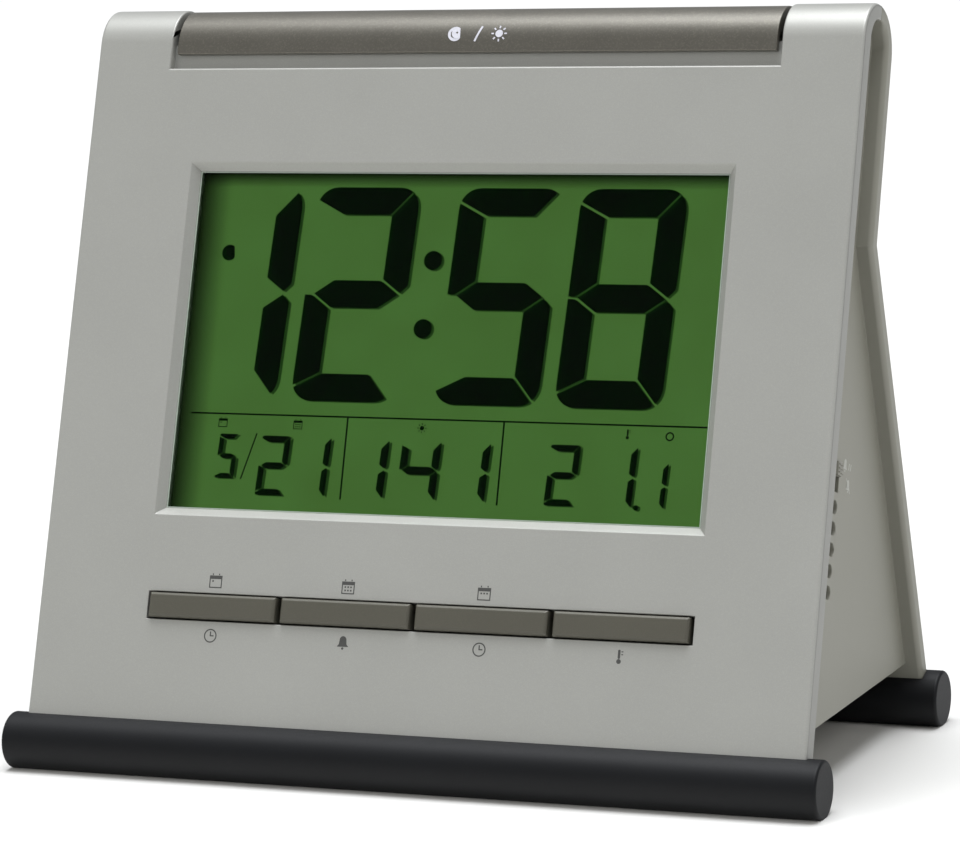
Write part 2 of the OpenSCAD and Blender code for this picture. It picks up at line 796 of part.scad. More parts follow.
// From the buzzer and the alarm switch to the board's right-hand edge
buzzer_route = [
    panel_point(53.9, 16, 30), panel_point(52, 17, 30.5), panel_point(49, 17, 31.5),
    panel_point(46.5, 15, 32.4), panel_point(45.6, 12, 33), panel_point(45.6, board_back, 33)
];
switch_route = [
    panel_point(53.3, 12.8, 43), panel_point(51, 14.4, 43.2), panel_point(48.4, 14.6, 43.6),
    panel_point(46.2, 13.6, 44), panel_point(45.2, 11.6, 44.4), panel_point(45.2, board_back, 44.4)
];

// Two wires side by side
module wire_pair(route) {
    for (shift = [0, 1.6]) translate(shift * up_slope) tube_along(route, thin_wire_r, up_slope);
}

module positive_wire() {
    color("#B3261E") tube_along(positive_route, wire_r, up_slope);
}

module negative_wire() {
    color("#1C1C1E") tube_along(negative_route, wire_r, up_slope);
}

module buzzer_wires() {
    color("#1C1C1E") wire_pair(buzzer_route);
}

module switch_wires() {
    color("#E0E0DC") wire_pair(switch_route);
}

// ---- Fasteners ----

// A self-tapping pan-head screw along +Z, its head at the bottom
module screw(shank_r, shank_l, cap_r, cap_h) {
    difference() {
        union() {
            cylinder(r = cap_r, h = cap_h);
            cylinder(r = shank_r - bite, h = cap_h + shank_l);
        }
        for (turn = [0, 90]) rotate(turn) translate([0, 0, -0.2])
            cube([cap_r * 1.2, 0.5, 1.6], center = true);
    }
}

module housing_screws() {
    color("#B9BBBD") {
        on_panel() for (side = [-1, 1]) translate([side * top_screw[0], slab_t - head_sink, top_screw[1]])
            rotate([90, 0, 0]) screw(pilot_r, 7, head_r, head_h);
        at_low_screws(belly_z + head_sink) screw(pilot_r, 8, head_r, head_h);
    }
}

module board_screws() {
    cap_h = 1;
    color("#B9BBBD") on_panel() for (side = [-1, 1]) for (v = board_screw_v)
        translate([side * board_screw_x, board_back + cap_h, v]) rotate([90, 0, 0])
            screw(board_screw_r, 5.2, board_head_r, cap_h);
}

front_shell();
rear_housing();
front_foot();
rear_foot();
snooze_bar();
month_key();
date_key();
year_key();
unit_key();
display_lens();
lcd_frame();
lcd_panel();
diffuser_film();
light_guide();
reflector_film();
backlight_leds();
elastomer_strip();
main_board();
controller_chip();
quartz_crystal();
board_components();
key_switches();
snooze_switches();
alarm_switch();
alarm_knob();
buzzer();
temperature_sensor();
battery_door();
upper_cell();
lower_cell();
contact_springs();
contact_plates();
positive_wire();
negative_wire();
buzzer_wires();
switch_wires();
housing_screws();
board_screws();
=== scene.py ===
import json
import math

import bmesh
import bpy
from mathutils import Matrix, Vector


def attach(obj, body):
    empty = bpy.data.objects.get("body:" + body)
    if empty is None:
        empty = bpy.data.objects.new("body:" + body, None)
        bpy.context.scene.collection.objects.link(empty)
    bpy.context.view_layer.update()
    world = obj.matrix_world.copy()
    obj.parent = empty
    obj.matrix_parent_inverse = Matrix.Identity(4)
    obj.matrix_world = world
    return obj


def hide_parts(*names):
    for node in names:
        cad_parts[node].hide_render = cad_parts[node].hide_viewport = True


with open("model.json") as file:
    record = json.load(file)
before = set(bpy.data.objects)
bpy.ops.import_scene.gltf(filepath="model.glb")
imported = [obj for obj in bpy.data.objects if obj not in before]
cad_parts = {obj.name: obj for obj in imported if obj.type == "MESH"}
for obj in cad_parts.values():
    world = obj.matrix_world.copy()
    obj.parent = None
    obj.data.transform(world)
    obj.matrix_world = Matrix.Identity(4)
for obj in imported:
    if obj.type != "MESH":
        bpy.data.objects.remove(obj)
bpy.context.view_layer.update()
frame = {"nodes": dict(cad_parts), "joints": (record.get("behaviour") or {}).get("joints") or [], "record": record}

# Digital desk alarm clock: the looks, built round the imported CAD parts.
# Lengths are in millimetres. The last section, with camera, lights and floor, has metres.
MM = 0.001
nodes = frame["nodes"]
joints = {joint["name"]: joint for joint in frame["joints"]}

# ---- The panel frame: x, depth behind the face, height up the slope ----

UP = -Vector(joints["snooze_bar_press"]["axis"]).normalized()
INWARD = Vector(joints["month_key_press"]["axis"]).normalized()
FACE_DEPTH = min(vertex.co.dot(INWARD) for vertex in nodes["front_shell"].data.vertices) / MM


def to_panel(point):
    """A point of the row frame, in metres, as (x, depth, height) in millimetres."""
    return Vector((point.x / MM, point.dot(INWARD) / MM - FACE_DEPTH, point.dot(UP) / MM))


def from_panel(x, depth, height):
    """The point of the row frame, in metres, at (x, depth, height) in millimetres."""
    return Vector((x * MM, 0, 0)) + INWARD * (depth + FACE_DEPTH) * MM + UP * height * MM


def span(node):
    """Lowest and highest (x, depth, height) of a CAD node."""
    points = [to_panel(vertex.co) for vertex in nodes[node].data.vertices]
    low = Vector([min(p[axis] for p in points) for axis in range(3)])
    high = Vector([max(p[axis] for p in points) for axis in range(3)])
    return low, high


def middle(node):
    low, high = span(node)
    return (low + high) / 2


# ---- Materials ----

class Shader:
    """Builds one node material. Texture coordinates are the object's own, in millimetres."""

    def __init__(self, name):
        self.material = bpy.data.materials.new(name)
        self.material.use_nodes = True
        self.tree = self.material.node_tree
        self.tree.nodes.clear()
        self.output = self.tree.nodes.new("ShaderNodeOutputMaterial")
        place = self.tree.nodes.new("ShaderNodeTexCoord")
        scale = self.add("ShaderNodeMapping", Vector=place.outputs["Object"])
        scale.inputs["Scale"].default_value = (1 / MM, 1 / MM, 1 / MM)
        self.place = scale.outputs[0]

    def feed(self, socket, value):
        """Joins an input to another node's output, or sets it to a plain value."""
        if isinstance(value, bpy.types.NodeSocket):
            self.tree.links.new(value, socket)
        else:
            socket.default_value = value

    def add(self, kind, **inputs):
        """A node with its inputs fed. Underscores in an input's name stand for spaces."""
        node = self.tree.nodes.new(kind)
        for key, value in inputs.items():
            self.feed(node.inputs[key.replace("_", " ")], value)
        return node

    def math(self, operation, a, b, clamp=False):
        node = self.tree.nodes.new("ShaderNodeMath")
        node.operation = operation
        node.use_clamp = clamp
        for socket, value in zip(node.inputs, (a, b)):
            self.feed(socket, value)
        return node.outputs[0]

    def noise(self, size, detail=2.0, place=None):
        """Smooth random values, 0 to 1, whose patches are size millimetres across."""
        node = self.add("ShaderNodeTexNoise", Vector=place or self.place, Scale=1 / size, Detail=detail)
        return node.outputs[0]

    def flakes(self, size):
        """One random value for each flake of that size."""
        node = self.add("ShaderNodeTexVoronoi", Vector=self.place, Scale=1 / size)
        return self.add("ShaderNodeSeparateColor", Color=node.outputs["Color"]).outputs[0]

    def between(self, value, low, high):
        """Maps 0 to 1 onto low to high."""
        return self.math("ADD", self.math("MULTIPLY", value, high - low), low)

    def mixed(self, factor, a, b):
        """Colour a where factor is 0 and colour b where it is 1."""
        node = self.tree.nodes.new("ShaderNodeMix")
        node.data_type = "RGBA"
        for index, value in ((0, factor), (6, a), (7, b)):
            self.feed(node.inputs[index], value)
        return node.outputs[2]

    def bump(self, height, depth):
        """Normals of a surface whose height varies by depth millimetres."""
        return self.add("ShaderNodeBump", Height=height, Distance=depth * MM).outputs[0]

    def axis(self, vector, index):
        return self.add("ShaderNodeSeparateXYZ", Vector=vector).outputs[index]

    def finish(self, shader):
        self.tree.links.new(shader.outputs[0], self.output.inputs["Surface"])
        return self.material

    def surface(self, **inputs):
        """The finished material, with one surface shader that has these inputs."""
        return self.finish(self.add("ShaderNodeBsdfPrincipled", **inputs))


def rgb(red, green, blue):
    """A colour given as display values from 0 to 255, as linear light with alpha."""
    def linear(value):
        value = value / 255
        return value / 12.92 if value <= 0.04045 else ((value + 0.055) / 1.055) ** 2.4
    return (linear(red), linear(green), linear(blue), 1)


def shade(color, factor):
    """The colour made lighter or darker."""
    return tuple(min(1, part * factor) for part in color[:3]) + (1,)


def moulded(name, color, rough, grain=0.25, relief=0.004, mottle=18, spread=0.04, metal=0.0, flake=0.0,
            flake_size=0.12, coat=0.0, coat_rough=0.2, specular=0.5):
    """Moulded or painted surface: slow colour drift, fine grain, and flake where the paint has any."""
    s = Shader(name)
    drift = s.noise(mottle, 3.0)
    fine = s.noise(grain, 2.0)
    tone = s.mixed(drift, shade(color, 1 - spread), shade(color, 1 + spread))
    tone = s.mixed(s.math("MULTIPLY", fine, 2 * spread), tone, shade(color, 0.8))
    height = fine
    if flake:
        chip = s.flakes(flake_size)
        tone = s.mixed(s.math("MULTIPLY", s.math("POWER", chip, 3.0), flake), tone, shade(color, 1.9))
        height = s.math("ADD", s.math("MULTIPLY", fine, 0.6), s.math("MULTIPLY", chip, 0.4))
    normal = s.bump(height, relief)
    return s.surface(
        Base_Color=tone, Metallic=metal, Normal=normal, Coat_Weight=coat, Coat_Roughness=coat_rough,
        Specular_IOR_Level=specular, Roughness=s.between(drift, rough - 0.04, rough + 0.04))


def rubber(name, color):
    """Smooth dark rubber with faint mould marks and a soft sheen."""
    s = Shader(name)
    drift = s.noise(9, 4.0)
    fine = s.noise(0.35, 3.0)
    tone = s.mixed(drift, shade(color, 0.8), shade(color, 1.25))
    return s.surface(
        Base_Color=tone, Roughness=s.between(fine, 0.5, 0.62), Specular_IOR_Level=0.24,
        Normal=s.bump(fine, 0.006), Sheen_Weight=0.02, Sheen_Roughness=0.4, Sheen_Tint=rgb(150, 155, 175))


def metal(name, color, rough):
    """Plated metal with fine streaks, drawn out in depth."""
    streak = (0.05, 4, 0.05)
    s = Shader(name)
    lengthened = s.add("ShaderNodeVectorMath", Vector=s.place)
    lengthened.operation = "DIVIDE"
    lengthened.inputs[1].default_value = streak
    lines = s.noise(1, 2.0, lengthened.outputs[0])
    tone = s.mixed(s.noise(3, 3.0), shade(color, 0.86), shade(color, 1.05))
    return s.surface(
        Base_Color=tone, Metallic=1.0, Roughness=s.between(lines, rough - 0.05, rough + 0.1),
        Normal=s.bump(lines, 0.002))


def clear(name, tint, gloss):
    """Clear sheet that doesn't bend light: a tint seen through a faint smooth reflection."""
    s = Shader(name)
    wipe = s.noise(14, 3.0)
    through = s.add("ShaderNodeBsdfTransparent", Color=tint)
    shine = s.add("ShaderNodeBsdfGlossy", Roughness=s.between(wipe, 0.05, 0.14))
    facing = s.add("ShaderNodeFresnel", IOR=1.45).outputs[0]
    mix = s.add("ShaderNodeMixShader", Fac=s.math("MULTIPLY", facing, gloss))
    s.tree.links.new(through.outputs[0], mix.inputs[1])
    s.tree.links.new(shine.outputs[0], mix.inputs[2])
    return s.finish(mix)


def ink(name, color, rough=0.6):
    """Pad-printed ink, slightly uneven. It also paints the highlight on the lens's edge."""
    s = Shader(name)
    worn = s.noise(0.3, 2.0)
    tone = s.mixed(worn, shade(color, 0.85), shade(color, 1.15))
    return s.surface(Base_Color=tone, Roughness=rough, Normal=s.bump(worn, 0.002))


def backlit_film_with_painted_shade(name, low, high):
    """Backlit green film behind the crystal, from corner low to corner high.

    It is even in the middle, and its light fades within a few millimetres of each edge: painted shade of the
    window's frame, widest at the left.
    """
    s = Shader(name)
    uneven = s.noise(9, 1.0)
    green = s.mixed(uneven, rgb(69, 100, 46), rgb(75, 111, 54))
    x = s.axis(s.place, 0)
    along = s.add("ShaderNodeVectorMath", Vector=s.place)
    along.operation = "DOT_PRODUCT"
    along.inputs[1].default_value = UP
    height = along.outputs["Value"]
    # Painted shade of the window's frame: the film's light falls to nothing towards each edge, most widely at the
    # left
    light = 1.0
    for place, edge, sign, shade_reach in (
            (x, low.x, 1, 5.5), (x, high.x, -1, 1.9), (height, low.z, 1, 1.6), (height, high.z, -1, 2.4)):
        inside = s.math("MULTIPLY", s.math("SUBTRACT", place, edge), sign)
        ramp = s.math("DIVIDE", inside, shade_reach, clamp=True)
        light = s.math("MULTIPLY", light, s.math("POWER", ramp, 1.3))
    weave = s.noise(0.5, 1.0)
    strength = s.math("MULTIPLY", light, s.between(weave, 0.92, 1.02))
    return s.surface(
        Base_Color=rgb(6, 9, 5), Roughness=0.8, Specular_IOR_Level=0.05, Emission_Color=green,
        Emission_Strength=strength, Normal=s.bump(weave, 0.002))


def crystal(name, tint):
    """A dark filter: the switched-on liquid crystal, and the painted shadow of the segments on the film."""
    s = Shader(name)
    uneven = s.noise(4, 1.0)
    tone = s.mixed(uneven, shade(tint, 0.8), shade(tint, 1.2))
    return s.finish(s.add("ShaderNodeBsdfTransparent", Color=tone))


def printed_board(name):
    """Green solder mask over copper tracks."""
    s = Shader(name)
    tracks = s.add("ShaderNodeTexBrick", Vector=s.place, Scale=0.35, Mortar_Size=0.03)
    weave = s.noise(0.4, 2.0)
    green = s.mixed(s.math("MULTIPLY", tracks.outputs["Fac"], 0.8), rgb(28, 92, 46), rgb(62, 132, 66))
    height = s.math("ADD", tracks.outputs["Fac"], s.math("MULTIPLY", weave, 0.3))
    return s.surface(Base_Color=green, Roughness=0.35, Coat_Weight=0.3, Normal=s.bump(height, 0.02))


def cell_jacket(name, split, sign):
    """A cell: a black film with a gold band at the positive end, and bare steel on both ends.

    The band begins at x = split and lies on the side that sign gives.
    """
    s = Shader(name)
    past_split = s.math("MULTIPLY", s.math("SUBTRACT", s.axis(s.place, 0), split), sign)
    band = s.math("GREATER_THAN", past_split, 0.0)
    facing = s.axis(s.add("ShaderNodeTexCoord").outputs["Normal"], 0)
    bare = s.math("GREATER_THAN", s.math("ABSOLUTE", facing, 0.0), 0.8)
    tone = s.mixed(bare, s.mixed(band, rgb(30, 31, 34), rgb(178, 142, 70)), rgb(196, 196, 192))
    fine = s.noise(0.4, 2.0)
    metallic = s.math("MAXIMUM", s.math("MULTIPLY", band, 0.6), bare)
    return s.surface(
        Base_Color=tone, Metallic=metallic, Roughness=s.between(fine, 0.26, 0.36), Coat_Weight=0.3,
        Normal=s.bump(fine, 0.003))


looks = {
    "front_plastic": moulded("front_paint", rgb(160, 160, 155), 0.45, grain=0.18, relief=0.002, metal=0.35,
                             flake=0.1, flake_size=0.09, coat=0.12, coat_rough=0.38),
    # A darker copy of the front paint: painted shade on the front shell's end faces
    "rim_painted_shade": moulded("rim_painted_shade", rgb(136, 136, 132), 0.42, grain=0.18, relief=0.002, metal=0.3),
    "rear_plastic": moulded("rear_plastic", rgb(128, 127, 117), 0.46, grain=0.3),
    "foot_rubber": rubber("foot_rubber", rgb(12, 13, 15)),
    "bar_plastic": moulded("bar_paint", rgb(99, 96, 88), 0.4, grain=0.3, mottle=6, spread=0.07, metal=0.6,
                           flake=0.28, flake_size=0.2, coat=0.2, coat_rough=0.36),
    "key_plastic": moulded("key_plastic", rgb(80, 78, 69), 0.44, grain=0.2, relief=0.003, metal=0.2,
                           flake=0.15, flake_size=0.1),
    "clear_lens": clear("lens_acrylic", rgb(250, 254, 250), 0.12),
    "white_plastic": moulded("white_plastic", rgb(226, 226, 220), 0.55),
    "lcd_glass": clear("display_glass", rgb(247, 252, 247), 0.1),
    "white_film": moulded("white_film", rgb(232, 235, 228), 0.4, relief=0.001),
    "clear_guide": clear("light_guide", rgb(206, 232, 198), 0.8),
    "green_leds": moulded("led_resin", rgb(150, 220, 120), 0.2, relief=0.001, coat=0.5),
    "pink_rubber": moulded("silicone", rgb(132, 98, 102), 0.55),
    "circuit_board": printed_board("circuit_board"),
    "black_resin": moulded("potting_resin", rgb(22, 22, 23), 0.18, grain=2.5, relief=0.02, coat=0.4),
    "bright_metal": metal("nickel_plate", rgb(214, 214, 210), 0.22),
    "component_plastic": moulded("ceramic", rgb(180, 148, 110), 0.4),
    "switch_plastic": moulded("switch_plastic", rgb(44, 44, 46), 0.5),
    "switch_metal": metal("tinned_steel", rgb(178, 180, 182), 0.34),
    "knob_plastic": moulded("knob_plastic", rgb(132, 131, 122), 0.5, grain=0.2),
    "red_wire": moulded("red_insulation", rgb(178, 38, 30), 0.35, relief=0.002),
    "black_wire": moulded("black_insulation", rgb(28, 28, 30), 0.38, relief=0.002),
    "white_wire": moulded("white_insulation", rgb(222, 222, 216), 0.38, relief=0.002),
    "screw_steel": metal("zinc_plate", rgb(190, 192, 196), 0.3),
}
dark_ink = ink("legend_ink", rgb(64, 64, 62))
white_ink = ink("white_ink", rgb(190, 190, 198))
grey_ink = ink("side_ink", rgb(170, 170, 164))
lit_segment = crystal("lit_crystal", (0.05, 0.22, 0.06, 1))
# The same dark filter, fixed behind the segments as their painted shadow
segment_shadow = crystal("segment_shadow", (0.42, 0.52, 0.42, 1))
slot_of = {part["node"]: part["material_slot"] for part in frame["record"]["subparts"]}
body_of = {name: body for body, names in frame["record"]["behaviour"]["bodies"].items() for name in names}

# ---- Mesh helpers ----

SHARP = math.radians(28)    # an edge with a smaller angle between its faces isn't rounded


def new_piece(name, bm, material, body, smooth=False):
    """Turns bm into a piece that rides on a body."""
    mesh = bpy.data.meshes.new(name)
    bmesh.ops.recalc_face_normals(bm, faces=bm.faces)
    bm.to_mesh(mesh)
    bm.free()
    piece = bpy.data.objects.new(name, mesh)
    bpy.context.scene.collection.objects.link(piece)
    mesh.materials.append(material)
    for face in mesh.polygons:
        face.use_smooth = smooth
    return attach(piece, body)


def apply_modifiers(piece):
    """Makes what the modifiers give the piece's own mesh."""
    bpy.context.view_layer.update()
    shaped = piece.evaluated_get(bpy.context.evaluated_depsgraph_get())
    mesh = bpy.data.meshes.new_from_object(shaped)
    piece.modifiers.clear()
    piece.data = mesh


def welded_copy(node):
    """The CAD node's mesh with its faces joined at their edges and its flat faces whole."""
    bm = bmesh.new()
    bm.from_mesh(nodes[node].data)
    bmesh.ops.remove_doubles(bm, verts=bm.verts, dist=0.002 * MM)
    bmesh.ops.dissolve_limit(bm, angle_limit=math.radians(0.4), verts=bm.verts, edges=bm.edges)
    return bm


def stand_in(node, bm, smooth=True):
    """A piece that stands for a CAD node, with its slot and its look. A cell gets its look later."""
    piece = new_piece(node + "_body", bm, looks.get(slot_of[node]), body_of[node], smooth)
    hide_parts(node)
    return piece


def softened(node, radius_of, widest, segments=3):
    """A copy of a CAD node with rounded edges, none wider than widest.

    radius_of(place, normal_a, normal_b) gives the radius of an edge between faces with those normals.
    """
    bm = welded_copy(node)
    weight = bm.edges.layers.float.new("bevel_weight_edge")
    for edge in bm.edges:
        if len(edge.link_faces) == 2 and edge.calc_face_angle(0) > SHARP:
            place = to_panel((edge.verts[0].co + edge.verts[1].co) / 2)
            edge[weight] = radius_of(place, *(face.normal for face in edge.link_faces)) / widest
    piece = stand_in(node, bm)
    bevel = piece.modifiers.new("round", "BEVEL")
    bevel.limit_method = "WEIGHT"
    bevel.width = widest * MM
    bevel.segments = segments
    bevel.use_clamp_overlap = False
    piece.modifiers.new("flat", "WEIGHTED_NORMAL").keep_sharp = True
    apply_modifiers(piece)
    return piece


def evenly(radius):
    """A radius_of that rounds every edge alike."""
    return lambda place, normal_a, normal_b: radius


def bridge(bm, ring_a, ring_b):
    """Joins two closed rings of vertices with a band of faces."""
    for k in range(len(ring_a)):
        after = (k + 1) % len(ring_a)
        bm.faces.new((ring_a[k], ring_a[after], ring_b[after], ring_b[k]))


# ---- Shells ----

TINY = 0.01                 # places nearer to each other than this are the same
END_ROUND = 0.5             # radius of the shells' outer edges
RECESS_ROUND = 0.15         # radius at the side recess, where the two shells meet
RIB_ROUND = 0.8             # radius at the side recess along the rear leg,
RIB_REACH = 2.5             # and how far behind the seam it has grown to that
POCKET_ROUND = 0.38         # radius of the snooze bar's pocket where it meets the face,
POCKET_TOP_ROUND = 0.25     # and where it meets the round over the top
FACE_ROUND = 0.12           # radius of the face's other edges
INSIDE_ROUND = 0.08         # radius of edges inside the case
BACK_ROUND = 0.1            # radius of the rear housing's other edges
HIDDEN_DEPTH = 2.9          # edges deeper in the front shell are out of sight, except at its ends and top
half_width = span("front_shell")[1].x
seam = max(point.y for point in (to_panel(vertex.co) for vertex in nodes["front_shell"].data.vertices)
           if point.x > half_width - TINY)
bar_low, bar_high = span("snooze_bar")
lens_low, lens_high = span("display_lens")
round_start = bar_high.z - 6    # parts the flat face from the round over the top
pocket_low = bar_high.z - 12    # below the pocket's lowest edge
pocket_half = half_width - 10   # outside the pocket's ends


def on_seam(place):
    return abs(place.y - seam) < 0.05


def is_outside(place, normal):
    """Whether a face seen from the side looks away from the side recess."""
    behind = 1 if place.y > seam - TINY else -1
    return normal.dot(UP) > 0.3 or behind * normal.dot(INWARD) > 0.2


def end_face_edge(place, normal_a, normal_b, inner):
    """Radius of an edge of the shells' end faces: none on the seam, and inner on the side recess."""
    other = normal_b if abs(normal_a.x) > abs(normal_b.x) else normal_a
    if on_seam(place) and abs(other.dot(INWARD)) > 0.9:
        return 0
    return END_ROUND if is_outside(place, other) else inner


def is_pocket_rim(place):
    """Whether an edge lies where the face, or the round over the top, meets the snooze bar's pocket."""
    if abs(place.x) > pocket_half or place.z < pocket_low:
        return False
    if place.z < round_start:
        return place.y < TINY
    return place.y < HIDDEN_DEPTH or place.z > bar_high.z - 1.6


def front_edges(place, normal_a, normal_b):
    if abs(place.x) > half_width - TINY:
        return end_face_edge(place, normal_a, normal_b, RECESS_ROUND)
    if is_pocket_rim(place):
        return POCKET_ROUND if place.z < round_start else POCKET_TOP_ROUND
    if place.y < TINY:
        return FACE_ROUND
    if place.y > HIDDEN_DEPTH and abs(place.x) < half_width - 2:
        return 0
    return INSIDE_ROUND


def rear_edges(place, normal_a, normal_b):
    if on_seam(place):
        return 0
    if abs(place.x) > half_width - TINY:
        grown = min(1, max(0, (place.y - seam) / RIB_REACH))
        inner = RECESS_ROUND + (RIB_ROUND - RECESS_ROUND) * grown
        return end_face_edge(place, normal_a, normal_b, inner)
    if abs(place.x) < half_width - 3 and abs(normal_a.x) < 0.5 and abs(normal_b.x) < 0.5:
        return INSIDE_ROUND
    return BACK_ROUND


front = softened("front_shell", front_edges, END_ROUND)
softened("rear_housing", rear_edges, RIB_ROUND, 4)

# The front shell's end faces get a darker copy of the front paint: painted shade on the sides
front.data.materials.append(looks["rim_painted_shade"])
for face in front.data.polygons:
    if abs(face.normal.x) > 0.9 and abs(to_panel(face.center).x) > half_width - 0.1:
        face.material_index = 1

softened("battery_door", evenly(0.15), 0.15)
softened("snooze_bar", evenly(0.18), 0.18)
for key in ("month_key", "date_key", "year_key", "unit_key"):
    softened(key, evenly(0.13), 0.13)

# The feet stay on the floor, which their rounded edges would pass by a hair
for foot in ("front_foot", "rear_foot"):
    for vertex in softened(foot, evenly(0.1), 0.1).data.vertices:
        vertex.co.z = max(0, vertex.co.z)

# ---- Inner parts: rounded edges, and round wires ----

for node, radius in (
        ("display_lens", 0.12), ("lcd_panel", 0.08), ("lcd_frame", 0.15), ("light_guide", 0.05),
        ("backlight_leds", 0.12), ("elastomer_strip", 0.1), ("main_board", 0.06), ("quartz_crystal", 0.25),
        ("board_components", 0.08), ("key_switches", 0.2), ("snooze_switches", 0.2), ("alarm_switch", 0.15),
        ("buzzer", 0.3), ("contact_plates", 0.06), ("housing_screws", 0.12), ("board_screws", 0.1),
        ("controller_chip", 0.05)):
    softened(node, evenly(radius), radius, 2)

for node in ("contact_springs", "positive_wire", "negative_wire", "buzzer_wires", "switch_wires"):
    wire = stand_in(node, welded_copy(node))
    wire.modifiers.new("round", "SUBSURF").levels = 1
    wire.modifiers["round"].render_levels = 1
    apply_modifiers(wire)

for node in ("diffuser_film", "reflector_film", "temperature_sensor"):
    nodes[node].data.materials.clear()
    nodes[node].data.materials.append(looks[slot_of[node]])

# Each cell has its positive end, with the gold band, at the side where its button is
BAND_START = 9      # from the middle of the cell
for node, sign in (("upper_cell", 1), ("lower_cell", -1)):
    cell = softened(node, evenly(0.35), 0.35)
    cell.data.materials.clear()
    cell.data.materials.append(cell_jacket(node + "_jacket", sign * BAND_START, sign))

# The alarm knob, with ridges for a fingernail
RIDGE_STEP = 0.6
RIDGE_HALF = 0.85               # half of a ridge's length
RIDGE_FOOT = (-0.1, 0.16)       # height off the knob and half width, at the ridge's foot inside the knob,
RIDGE_CREST = (0.16, 0.07)      # and at its crest
knob_high = span("alarm_knob")[1]
knob_middle = middle("alarm_knob")
softened("alarm_knob", evenly(0.12), 0.12)
ridges = bmesh.new()
for step in (-RIDGE_STEP, 0, RIDGE_STEP):
    rings = [
        [ridges.verts.new(from_panel(knob_high.x + out, knob_middle.y + RIDGE_HALF * side_y,
                                     knob_middle.z + step + half * side_z))
         for side_y, side_z in ((-1, -1), (1, -1), (1, 1), (-1, 1))]
        for out, half in (RIDGE_FOOT, RIDGE_CREST)]
    for ring in rings:
        ridges.faces.new(ring)
    bridge(ridges, *rings)
new_piece("knob_ridges", ridges, looks["knob_plastic"], "alarm_knob")

# ---- Flat marks: outlines in millimetres, made into thin solid sheets ----

def arc(x, y, radius, start, end, steps):
    """Points on a circle from the angle start to the angle end, in degrees, with both ends."""
    turns = [math.radians(start + (end - start) * k / steps) for k in range(steps + 1)]
    return [(x + radius * math.cos(turn), y + radius * math.sin(turn)) for turn in turns]


def disc(x, y, radius, steps=28):
    return arc(x, y, radius, 0, 360, steps)[:-1]


def box_outline(x0, y0, x1, y1):
    return [(x0, y0), (x1, y0), (x1, y1), (x0, y1)]


def stroke(start, end, width, parts=1):
    """A straight line with square ends. More parts let it follow a curved surface."""
    (x0, y0), (x1, y1) = start, end
    length = math.hypot(x1 - x0, y1 - y0)
    side_x, side_y = -(y1 - y0) / length * width / 2, (x1 - x0) / length * width / 2
    line = [(x0 + (x1 - x0) * k / parts, y0 + (y1 - y0) * k / parts) for k in range(parts + 1)]
    return [(x - side_x, y - side_y) for x, y in line] + [(x + side_x, y + side_y) for x, y in reversed(line)]


def rounded_box(width, height, radius, steps=6):
    """Outline of a box with round corners, from (0, 0) to (width, height)."""
    points = []
    for turn, (x, y) in enumerate((
            (width - radius, radius), (width - radius, height - radius), (radius, height - radius),
            (radius, radius))):
        points += arc(x, y, radius, -90 + 90 * turn, 90 * turn, steps)
    return points


def keep_left(outline, start, end, gap=0.0):
    """The part of a convex outline that lies more than gap to the left of the line from start to end."""
    (x0, y0), (x1, y1) = start, end
    length = math.hypot(x1 - x0, y1 - y0)

    def side(point):
        return ((x1 - x0) * (point[1] - y0) - (y1 - y0) * (point[0] - x0)) / length - gap

    kept = []
    for here, after in zip(outline, outline[1:] + outline[:1]):
        a, b = side(here), side(after)
        if a >= 0:
            kept.append(here)
        if a * b < 0:
            part = a / (a - b)
            kept.append((here[0] + part * (after[0] - here[0]), here[1] + part * (after[1] - here[1])))
    return kept


SEGMENTS_OF = {"1": "bc", "2": "abged", "4": "fgbc", "5": "afgcd", "8": "abcdefg"}
TIP = 0.28          # how far a stroke's pointed end lies inside the digit's side, in strokes
GAP = 0.035         # half of the gap between two strokes, in strokes,
MORE_GAP = 0.04     # and what every digit has besides, in millimetres
CORNER_CUT = 0.1    # how far inside the digit's side the cut between two outer strokes ends, in strokes


def digit(symbol, width, height, stroke_w, corner):
    """The lit strokes of one seven-segment digit, from (0, 0) to (width, height)."""
    w, h, t = width, height, stroke_w
    gap = GAP * t + MORE_GAP
    notch = w - CORNER_CUT * t
    whole = rounded_box(w, h, corner)

    def cut(lines, plain):
        """The part of the whole digit to the left of all lines, with a gap along those that aren't plain."""
        outline = whole
        for start, end in plain:
            outline = keep_left(outline, start, end)
        for start, end in lines:
            outline = keep_left(outline, start, end, gap)
        return outline

    def flipped(outline):
        return [(x, h - y) for x, y in reversed(outline)]

    top = cut([((0, h - t / 2), (t, h - t)), ((w - t, h - t), (notch, h))], [((0, h - t), (w, h - t))])
    right = cut(
        [((notch, h), (w - t, h - t)), ((w - t, h / 2 + t / 2), (w - TIP * t, h / 2)),
         ((0, h / 2), (w, h / 2)), ((w - TIP * t, h / 2), (w, h / 2 + TIP * t))],
        [((w - t, h), (w - t, 0))])
    left = cut(
        [((t, h - t), (0, h - t / 2)), ((TIP * t, h / 2), (t, h / 2 + t / 2)), ((0, h / 2), (w, h / 2))],
        [((t, 0), (t, h))])
    bar = cut(
        [((t, h / 2 + t / 2), (TIP * t, h / 2)), ((TIP * t, h / 2), (t, h / 2 - t / 2)),
         ((w - TIP * t, h / 2), (w - t, h / 2 + t / 2)), ((w - t, h / 2 - t / 2), (w - TIP * t, h / 2))],
        [((0, h / 2 - t / 2), (w, h / 2 - t / 2)), ((w, h / 2 + t / 2), (0, h / 2 + t / 2))])
    strokes = {"a": top, "b": right, "c": flipped(right), "d": flipped(top), "e": flipped(left), "f": left,
               "g": bar}
    return [strokes[letter] for letter in SEGMENTS_OF[symbol]]


